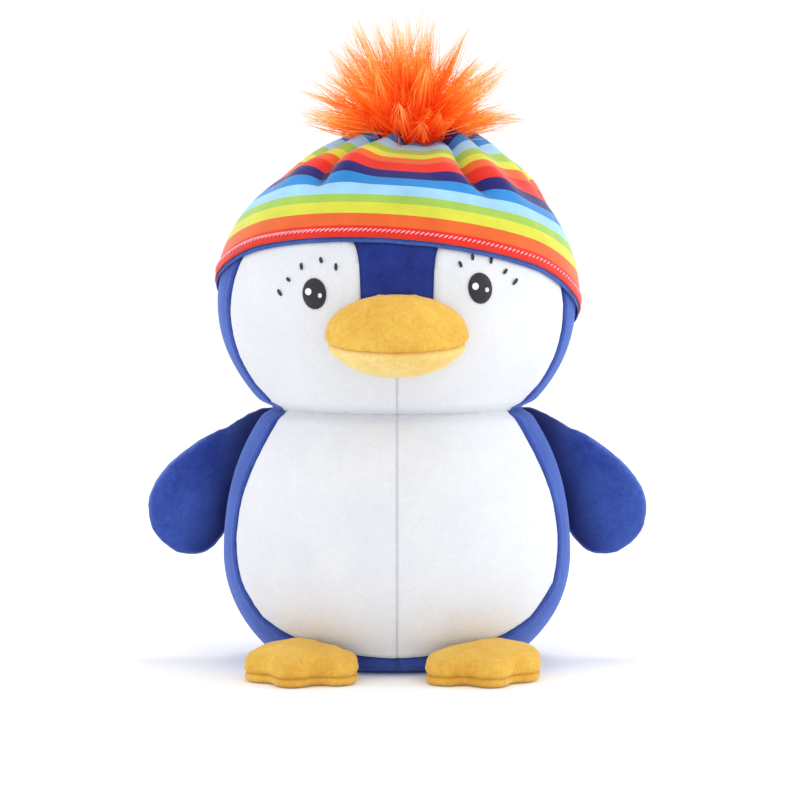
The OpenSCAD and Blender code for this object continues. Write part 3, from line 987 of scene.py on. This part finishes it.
def split_cover(form, point, normal, panels, seam, fine_lumps=0.0):
    """Sews a small stuffed form out of two panels that meet in one plane."""
    if fine_lumps:
        unevenness(form, fine_lumps)
    even_out(form, 2)
    bm = open_mesh(form)
    geometry = bm.verts[:] + bm.edges[:] + bm.faces[:]
    bmesh.ops.bisect_plane(bm, geom=geometry, dist=0.05 * MM, plane_co=point, plane_no=normal)
    ids = bm.faces.layers.int.new("panel")
    for face in bm.faces:
        face[ids] = 0 if (face.calc_center_median() - point).dot(normal) > 0 else 1
    bm.normal_update()
    line = []
    for edge in seam_edges(bm, ids):
        line += [v.co.copy() for v in edge.verts] + [(edge.verts[0].co + edge.verts[1].co) / 2]
    draw_in(bm, line, **seam)
    made = cut_panels(bm, ids, [(name, finish) for name, _, finish, _ in panels])
    for piece, (_, replaced, _, slot) in zip(made, panels):
        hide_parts(replaced)
    return made


EDGE_SEAM = {"depth": 1.0 * MM, "width": 1.4 * MM, "pucker": 0.6 * MM, "lip": 0.35 * MM}
TOE_SEAM = {"depth": 0.9 * MM, "width": 1.2 * MM, "pucker": 0.7 * MM, "lip": 0.3 * MM}
BEAK_SEAM = {"depth": 1.3 * MM, "width": 1.5 * MM, "pucker": 0.8 * MM, "lip": 0.4 * MM}

hinge = Vector((0, -60 * MM, 16 * MM))
backwards = Vector((0, 1, 0))
for side, name in SIDE_NAMES.items():
    pivot = wing_pivots[side]
    outwards = Vector((side * 0.594, 0, -0.805))
    wing_fibre = filling(wings[side], f"wing_{name}_filling", 2.6 * MM, f"wing_{name}_stuffing")
    wing_panels = [
        (f"wing_{name}_back_cloth", f"wing_{name}_back", blue_plush, "blue_plush"),
        (f"wing_{name}_front_cloth", f"wing_{name}_front", blue_plush, "blue_plush"),
    ]
    pieces = split_cover(wings[side], Vector((0, pivot.y, 0)), backwards, wing_panels, EDGE_SEAM, 0.5 * MM)
    bpy.data.objects.remove(wings[side])
    for piece in [*pieces, wing_fibre]:
        start, end = pivot - outwards * 8 * MM, pivot + outwards * 24 * MM
        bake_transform(piece, "torso", f"wing_{name}", start=start, end=end)

    foot_fibre = filling(feet[side], f"foot_{name}_filling", 2.4 * MM, f"foot_{name}_stuffing")
    foot_panels = [
        (f"foot_{name}_top_cloth", f"foot_{name}_top", golden_plush, "golden_plush"),
        (f"foot_{name}_sole_cloth", f"foot_{name}_sole", golden_plush, "golden_plush"),
    ]
    pieces = split_cover(feet[side], Vector((0, 0, 5 * MM)), Vector((0, 0, 1)), foot_panels, TOE_SEAM)
    bpy.data.objects.remove(feet[side])
    for piece in [*pieces, foot_fibre]:
        start, end = hinge + backwards * 5 * MM, hinge - backwards * 10 * MM
        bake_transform(piece, "torso", f"foot_{name}", start=start, end=end)

beak_seam_point = Vector((0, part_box("beak_upper")[0].y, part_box("beak_lower")[1].z - 6.0 * MM))
beak_tip = math.radians(8)
beak_fibre = filling(beak, "beak_filling", 2.4 * MM, "beak_stuffing")
beak_panels = [
    ("beak_upper_cloth", "beak_upper", golden_plush, "golden_plush"),
    ("beak_lower_cloth", "beak_lower", pale_gold_plush, "pale_gold_plush"),
]
beak_cloth = split_cover(
    beak, beak_seam_point, Vector((0, -math.sin(beak_tip), math.cos(beak_tip))), beak_panels, BEAK_SEAM
)
bpy.data.objects.remove(beak)
for piece in [*beak_cloth, beak_fibre]:
    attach(piece, "head")

# ---------------------------------------------------------------- hat

hat_axis = Vector((
    math.cos(HAT_TILT) * math.sin(HAT_ROLL),
    math.sin(HAT_TILT),
    math.cos(HAT_TILT) * math.cos(HAT_ROLL),
))
hem_middle = head_middle + Vector((0, 0, HEM_RISE))
hem_right = (Vector((1, 0, 0)) - hat_axis * hat_axis.x).normalized()
hem_back = hat_axis.cross(hem_right)
HAT_SIDE = 3 * MM
HAT_CROWN = 6.5 * MM
hat_size = head_size + Vector((HAT_SIDE, HAT_SIDE, HAT_CROWN))
crown = Vector((12 * MM, 2 * MM, head_middle.z + hat_size.z))


def scaled(vector, sizes):
    return Vector([a * b for a, b in zip(vector, sizes)])


def on_hat(azimuth, share, size, drop=0.0):
    """A point of an oval dome round the head and its outward direction: share 0 is the hem, 1 the crown."""
    inverse = Vector([1 / s for s in size])
    start = scaled(hem_middle - head_middle, inverse)
    way = scaled(hem_right * math.sin(azimuth) - hem_back * math.cos(azimuth), inverse)
    a, b, c = way.dot(way), start.dot(way), start.dot(start) - 1
    hem = start + way * ((-b + math.sqrt(b * b - a * c)) / a)
    top = scaled(crown - head_middle, inverse).normalized()
    angle = hem.angle(top)
    step = share - drop
    unit = (hem * math.sin((1 - step) * angle) + top * math.sin(step * angle)) / math.sin(angle)
    return head_middle + scaled(unit, size), scaled(unit, inverse).normalized()


# Pleats of the gathered crown: degrees from the front towards the right, depth, how far down each reaches.
PLEATS = [
    (-42, 8.0, 0.31), (-14, 4.5, 0.72), (38, 6.5, 0.33), (62, 4.0, 0.68), (92, 5.0, 0.44), (128, 4.5, 0.50),
    (160, 5.0, 0.43), (-164, 4.5, 0.48), (-130, 5.0, 0.44), (-96, 4.5, 0.50), (-68, 3.6, 0.62),
]


def turn_between(a, b):
    """Difference of two directions in degrees, -180 to 180."""
    return (a - b + 180) % 360 - 180


def pleat_lift(degrees, share):
    """How far the pleats raise or sink the cloth."""
    lift = 0
    for at, depth, reach in PLEATS:
        strength = near(share, reach - 0.05, reach + 0.12)
        strength *= 1 - 0.45 * near(share, reach + 0.12, reach + 0.4)
        off = turn_between(degrees, at + 4 * math.sin(share * 9))
        valley = math.exp(-((off / 3.6) ** 2))
        crest = math.exp(-(((off - 13) / 9) ** 2)) + 0.7 * math.exp(-(((off + 13) / 9) ** 2))
        lift += strength * depth * (0.75 * crest - 0.8 * valley)
    return lift * MM


def hem_drop(degrees):
    """The hem hangs lower at the sides than a level cut."""
    side = near(abs(degrees), 52, 84) * (1 - 0.5 * near(abs(degrees), 110, 160))
    return side * (5.0 if degrees > 0 else 4.0) * MM / HAT_CLOTH


# Broad swellings of the worn hat: height in mm, degrees and their width, share of the way up and its width.
SWELLINGS = [
    (5.0, 78, 42, 0.72, 0.2),
    (-2.2, -88, 40, 0.55, 0.22),
    (3.0, -55, 28, 0.86, 0.1),
    (3.0, 64, 26, 0.86, 0.1),
]


def hat_lift(degrees, share, place):
    """The hat's shape on top of its plain dome."""
    lift = pleat_lift(degrees, share)
    for height, at, width, middle, tall in SWELLINGS:
        around = turn_between(degrees, at) / width
        lift += height * MM * math.exp(-(around**2)) * math.exp(-(((share - middle) / tall) ** 2))
    lift -= 5.0 * MM * math.exp(-((turn_between(degrees, 10) / 30) ** 2)) * near(share, 0.68, 0.88)
    lift -= 7.0 * MM * near(share, 0.84, 1.0)
    lift += 0.9 * MM * noise.noise(place * 26) * near(share, 0.1, 0.3)
    lift += 0.5 * MM * math.exp(-((share / 0.05) ** 2))
    return lift


def lining_gap(share):
    """How far the lining's outer face stands off the head."""
    return (1.2 + 0.7 * near(share, 0.12, 0.02)) * MM


SHELL_RISE = 0.8 * MM


def hat_point(across, up, extra=0.0):
    """A point of the hat's outer face."""
    degrees = (across - 0.5) * 360
    azimuth = math.radians(degrees)
    share = up + SHELL_RISE / HAT_CLOTH * (1 - up)
    drop = hem_drop(degrees) * (1 - up) ** 2
    place, outwards = on_hat(azimuth, share, hat_size, drop)
    clear = (place - on_hat(azimuth, share, head_size, drop)[0]).dot(outwards)
    lowest = lining_gap(share) + 1.3 * MM - clear
    return place + outwards * (max(hat_lift(degrees, up, place), lowest) + extra)


def fold_depth(degrees, share):
    """Where cloth lies deep in a pleat, 0 to 1: how much shade is painted there."""
    deepest = 0
    for at, depth, reach in PLEATS:
        off = turn_between(degrees, at + 4 * math.sin(share * 9))
        sharp = math.exp(-((off / 1.9) ** 2)) * near(share, reach - 0.03, reach + 0.06)
        deepest = max(deepest, sharp * (1 - 0.6 * near(share, reach + 0.15, reach + 0.35)) * depth / 8)
    return deepest


hat_grid = mapped_grid(300, 116, hat_point)
# Painted shade deep in each pleat, kept on the cloth for the jersey's shader.
fold_shade_layer = hat_grid.verts.layers.float.new("painted_fold_shade")
cloth_place = hat_grid.loops.layers.uv["cloth"]
for face in hat_grid.faces:
    for loop in face.loops:
        across, up = loop[cloth_place].uv
        loop.vert[fold_shade_layer] = fold_depth((across - 0.5) * 360, up)
shell_area = sum(face.calc_area() for face in hat_grid.faces)
hat_shell = thicken(mesh_object("hat_shell_cloth", hat_grid, striped_jersey), 1.0 * MM)
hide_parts("hat_shell")

LINING_EDGE = 2.0 * MM


def lining_point(across, up):
    """A point of the lining, which shows a little below the hem and rolls outwards there."""
    degrees = (across - 0.5) * 360
    share = -LINING_EDGE / HAT_CLOTH + up * (1 + LINING_EDGE / HAT_CLOTH)
    share -= 0.35 * MM / HAT_CLOTH * noise.noise(Vector((degrees * 0.12, 0, 0))) * (1 - up)
    place, outwards = on_hat(math.radians(degrees), share, head_size, hem_drop(degrees) * (1 - up) ** 2)
    return place + outwards * (lining_gap(share) + 0.6 * MM * math.exp(-((up / 0.03) ** 2)))


lining_grid = mapped_grid(220, 80, lining_point)
lining_area = sum(face.calc_area() for face in lining_grid.faces)
lining = thicken(mesh_object("hat_lining_cloth", lining_grid, lining_cloth), 0.7 * MM)
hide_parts("hat_lining")

STITCH_HEIGHT = 4.0 * MM
STITCH_PITCH = 3.0 * MM
hem_length = sum(
    (hat_point((i + 1) / 360, 0.0) - hat_point(i / 360, 0.0)).length for i in range(360)
)
stitch_count = round(hem_length / STITCH_PITCH)


def hem_stitches(lean, low, high, radius):
    """Slanted stitches side by side round the hem."""
    paths = []
    for index in range(stitch_count):
        path = []
        for step in range(5):
            share = step / 4
            across = ((index + lean * (share - 0.5)) / stitch_count) % 1.0
            up = (low + (high - low) * share) / HAT_CLOTH
            arch = math.sin(math.pi * share)
            path.append((hat_point(across, up, 0.1 * MM + 0.45 * MM * arch), radius * (0.55 + 0.45 * arch)))
        paths.append(path)
    return paths


stitches = strands(
    "hat_hem_stitching_thread",
    hem_stitches(0.9, STITCH_HEIGHT - 0.9 * MM, STITCH_HEIGHT + 0.9 * MM, 0.55 * MM),
    pink_thread,
    sides=1,
)
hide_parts("hat_hem_stitching")
for piece in (hat_shell, lining, stitches):
    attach(piece, "hat")

# ---------------------------------------------------------------- pompom

dice = random.Random(11)


def fur_clumps(count):
    """Directions spread evenly over the upper half of a ball."""
    golden_turn = math.pi * (3 - math.sqrt(5))
    clumps = []
    for index in range(count):
        height = 1 - (index + 0.5) / count * 0.96
        turn = index * golden_turn + dice.uniform(-0.25, 0.25)
        flat = math.sqrt(max(0, 1 - height * height))
        height = max(height + dice.uniform(-0.05, 0.05), 0.03)
        clumps.append(Vector((flat * math.cos(turn), flat * math.sin(turn), height)).normalized())
    return clumps


def strand_path(root, tip, bow, radius):
    """A strand from root to tip that bows to one side and tapers."""
    path = []
    for step in range(6):
        share = step / 5
        place = root.lerp(tip, share) + bow * math.sin(math.pi * share)
        path.append((place, radius * (1 - share) ** 0.6 + 0.035 * MM))
    return path


def fur_strands():
    """Tufts of long strands that come together at their tips, with single strands between them."""
    paths = []
    start = pompom_root - Vector((0, 0, 3 * MM))
    lowest = pompom_root.z - 5 * MM
    for way in fur_clumps(96):
        rise = max(way.z, 0)
        long_one = dice.random() < 0.5
        reach = (66 + 11 * rise) * MM * (dice.uniform(0.92, 1.04) if long_one else dice.uniform(0.55, 0.8))
        side = way.orthogonal().normalized()
        other = way.cross(side)
        tip = start + way * reach + Vector((0, 0, 3 * MM * (1 - rise)))
        clump_bow = (side * dice.uniform(-1, 1) + other * dice.uniform(-1, 1)) * 3.0 * MM
        for _ in range(dice.randint(28, 44)):
            spread_out = (side * dice.gauss(0, 1) + other * dice.gauss(0, 1)) * 4.2 * MM
            root = start + way * 2 * MM + spread_out * 0.5
            root.z = max(root.z, lowest)
            wide = spread_out * dice.uniform(0.0, 0.4)
            end = tip + wide - way * reach * dice.uniform(0, 0.42) ** 1.3
            paths.append(strand_path(root, end, clump_bow + spread_out * 0.5, dice.uniform(0.17, 0.3) * MM))
        for _ in range(2):
            stray = (way + Vector([dice.gauss(0, 0.2) for _ in range(3)])).normalized()
            end = start + stray * reach * dice.uniform(0.7, 1.06)
            bow = Vector([dice.gauss(0, 2.5) for _ in range(3)]) * MM
            paths.append(strand_path(start + stray * 4 * MM, end, bow, 0.22 * MM))
    return paths


fur = strands("pompom_fur_strands", fur_strands(), orange_fur)
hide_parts("pompom_fur")
from_root = fur.data.attributes.new("from_root", "FLOAT_VECTOR", "POINT")
for v, value in zip(fur.data.vertices, from_root.data):
    value.vector = v.co - pompom_root
# The lowest fur lies on the hat and stays there when the pompom flops.
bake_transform(fur, "hat", "pompom", start=pompom_root, end=pompom_root + Vector((0, 0, 16 * MM)))

# ---------------------------------------------------------------- face embroidery

face_verts, face_polys = [], []
for piece in head_cloth:
    first = len(face_verts)
    face_verts += [v.co.copy() for v in piece.data.vertices]
    face_polys += [[first + i for i in polygon.vertices] for polygon in piece.data.polygons]
face_surface = BVHTree.FromPolygons(face_verts, face_polys)


def on_face(x, z, height):
    """The point of the face's cloth at x and z, raised off it."""
    place, normal, _, _ = face_surface.ray_cast(Vector((x, -0.4, z)), Vector((0, 1, 0)))
    return place + normal * height


def satin_oval(x, z, half_w, half_h, lean, pitch, radius, base, dome):
    """An embroidered oval: threads laid side by side across it, highest in the middle."""
    paths = []
    count = int(2 * half_h / pitch)
    for index in range(count):
        up = (index + 0.5) / count * 2 - 1
        reach = math.sqrt(1 - up * up)
        path = []
        for step in range(7):
            across = (step / 3 - 1) * reach
            px = half_w * across * math.cos(lean) - half_h * up * math.sin(lean)
            pz = half_w * across * math.sin(lean) + half_h * up * math.cos(lean)
            rise = base + dome * math.sqrt(max(0, 1 - across * across - up * up))
            path.append((on_face(x + px, z + pz, rise), radius))
        paths.append(path)
    return paths


def satin_bar(x, z, angle, length, width):
    """A short lash: a few threads laid along it."""
    along = Vector((math.cos(angle), math.sin(angle)))
    beside = Vector((-along.y, along.x))
    paths = []
    for lane in (-1, -0.33, 0.33, 1):
        path = []
        for step in range(5):
            share = step / 4 - 0.5
            taper = 1 - 2.2 * share * share
            spot = Vector((x, z)) + along * share * length + beside * lane * width / 2 * taper
            place = on_face(spot.x, spot.y, 0.25 * MM + 0.4 * MM * taper)
            path.append((place, 0.3 * MM * (0.6 + 0.4 * taper)))
        paths.append(path)
    return paths


# Each eye: its middle (x, z) in mm and its lean in degrees.
EYES = {LEFT: ((-45.4, 215.4), 4), RIGHT: ((45.8, 218.4), 8)}
# Each lash: its middle x and z in mm, its direction in degrees and its length in mm.
LASHES = {
    LEFT: [
        (-64.9, 215.6, 122, 3.8), (-60.0, 222.9, 135, 2.6), (-52.7, 230.2, 95, 3.7),
        (-41.8, 233.8, 105, 3.2), (-33.5, 230.2, 92, 3.8),
    ],
    RIGHT: [
        (34.9, 231.6, 112, 3.4), (41.7, 235.4, 95, 3.2), (52.0, 233.6, 84, 3.8),
        (59.9, 227.3, 52, 3.2), (65.5, 221.6, 52, 4.0),
    ],
}
EYE_HALF_W, EYE_HALF_H = 6.5 * MM, 8.4 * MM
for side, name in SIDE_NAMES.items():
    (eye_x, eye_z), lean = EYES[side]
    eye_x, eye_z, lean = eye_x * MM, eye_z * MM, math.radians(lean)
    eye = strands(
        f"eye_{name}_stitches",
        satin_oval(eye_x, eye_z, EYE_HALF_W, EYE_HALF_H, lean, 0.42 * MM, 0.34 * MM, 0.3 * MM, 0.7 * MM),
        black_thread,
        sides=1,
    )
    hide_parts(f"eye_{name}")
    glint_paths = satin_oval(
        eye_x - 3.0 * MM, eye_z + 1.0 * MM, 1.7 * MM, 1.8 * MM, 0, 0.4 * MM, 0.3 * MM, 1.25 * MM, 0.3 * MM
    )
    glint_paths += satin_oval(
        eye_x + 3.4 * MM, eye_z - 1.0 * MM, 1.0 * MM, 1.2 * MM, 0, 0.4 * MM, 0.3 * MM, 1.2 * MM, 0.3 * MM
    )
    glints = strands(f"eye_glints_{name}_stitches", glint_paths, white_thread, sides=1)
    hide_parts(f"eye_glints_{name}")
    lash_paths = []
    for x, z, angle, length in LASHES[side]:
        lash_paths += satin_bar(x * MM, z * MM, math.radians(angle), length * MM, 1.3 * MM)
    lashes = strands(f"lashes_{name}_stitches", lash_paths, black_thread, sides=1)
    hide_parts(f"lashes_{name}")
    for piece in (eye, glints, lashes):
        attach(piece, "head")

# ---------------------------------------------------------------- neck thread and label


def neck_thread_path():
    path = []
    for step in range(97):
        turn = step / 96 * 2 * math.pi
        drawn = NECK_DRAWN + 1.2 * MM
        path.append((Vector((
            (neck_half.x - drawn) * math.cos(turn), (neck_half.y - drawn) * math.sin(turn), neck_level
        )), 0.6 * MM))
    return path


neck_thread = strands("neck_drawing_thread", [neck_thread_path()], blue_thread, sides=1)
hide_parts("neck_seam")
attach(neck_thread, "neck")

label_low, label_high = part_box("care_label")
LABEL_W, LABEL_L = 20 * MM, 25 * MM
label_root = Vector((0, label_low.y - 2 * MM, label_high.z))
for cloth in torso_cloth:
    hit, place, _, _ = cloth.ray_cast(Vector((1 * MM, 0.3, label_high.z)), Vector((0, -1, 0)))
    if hit:
        label_root.y = max(label_root.y, place.y - 1.5 * MM)


def care_label():
    """A blank ribbon that curls a little as it hangs from the back seam."""
    bm = bmesh.new()
    bmesh.ops.create_grid(bm, x_segments=20, y_segments=24, size=0.5)
    for v in bm.verts:
        across, down = v.co.x, 0.5 - v.co.y
        length = down * LABEL_L
        turned = 1 - math.exp(-length / (3 * MM))
        curl = 1.2 * MM * down**2 + 0.4 * MM * math.cos(across * 5) * down
        fall = length - 3 * MM * turned + 0.6 * MM * down
        v.co = label_root + Vector((across * LABEL_W, 3.6 * MM * turned + curl, -fall))
    bmesh.ops.recalc_face_normals(bm, faces=bm.faces)
    made = thicken(mesh_object("care_label_ribbon", bm, label_ribbon), 0.4 * MM)
    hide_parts("care_label")
    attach(made, "torso")


care_label()

# ---------------------------------------------------------------- inner CAD pieces

INNER_FINISHES = {
    "pellet_pouch": pouch_cloth,
    "pellets": pellet_beads,
    "neck_stuffing": fibre,
    "pompom_backing": fur_backing,
    "pompom_stuffing": fibre,
    "pompom_thread": red_thread,
}
for name, finish in INNER_FINISHES.items():
    nodes[name].data.materials.clear()
    nodes[name].data.materials.append(finish)

# ---------------------------------------------------------------- floor, lights, camera


def floor():
    bm = bmesh.new()
    bmesh.ops.create_grid(bm, x_segments=1, y_segments=1, size=6)
    made = bpy.data.materials.new("pale_floor")
    made.use_nodes = True
    shader = made.node_tree.nodes["Principled BSDF"]
    for label, value in {
        "Base Color": (0.9, 0.9, 0.9, 1),
        "Roughness": 1.0,
        "Specular IOR Level": 0.0,
        "Emission Color": (1, 1, 1, 1),
        "Emission Strength": 0.07,
    }.items():
        shader.inputs[label].default_value = value
    plane = mesh_object("floor", bm, made)
    plane.data.transform(Matrix.Translation((0, 0, -0.2 * MM)))


def soft_light(name, place, target, size, power, colour=(1, 1, 1)):
    light = bpy.data.lights.new(name, "AREA")
    light.shape = "DISK"
    light.size = size
    light.energy = power
    light.color = colour
    lamp = bpy.data.objects.new(name, light)
    lamp.location = place
    lamp.rotation_euler = (Vector(target) - Vector(place)).to_track_quat("-Z", "Y").to_euler()
    scene.collection.objects.link(lamp)


floor()
soft_light("key", (0.7, -1.4, 1.3), (0, 0, 0.15), 0.9, 3)
soft_light("top", (0.1, 0.5, 1.8), (0, 0, 0.1), 0.6, 6)
soft_light("right_edge", (1.5, 0.1, 0.4), (0, 0, 0.12), 0.7, 6)
soft_light("left_edge", (-1.5, 0.1, 0.4), (0, 0, 0.12), 0.7, 3)

world = bpy.data.worlds.new("studio")
world.use_nodes = True
world.node_tree.nodes["Background"].inputs["Color"].default_value = (1, 1, 1, 1)
world.node_tree.nodes["Background"].inputs["Strength"].default_value = 1.06
scene.world = world
scene.view_settings.view_transform = "Standard"

CAMERA_PLACE = Vector((0.0017, -2.1, 0.30))
camera_data = bpy.data.cameras.new("camera")
camera_data.sensor_width = 36
camera_data.lens = 164.7
camera = bpy.data.objects.new("camera", camera_data)
camera.location = CAMERA_PLACE
camera.rotation_euler = (Vector((0.0017, 0, 0.1509)) - CAMERA_PLACE).to_track_quat("-Z", "Y").to_euler()
scene.collection.objects.link(camera)
scene.camera = camera
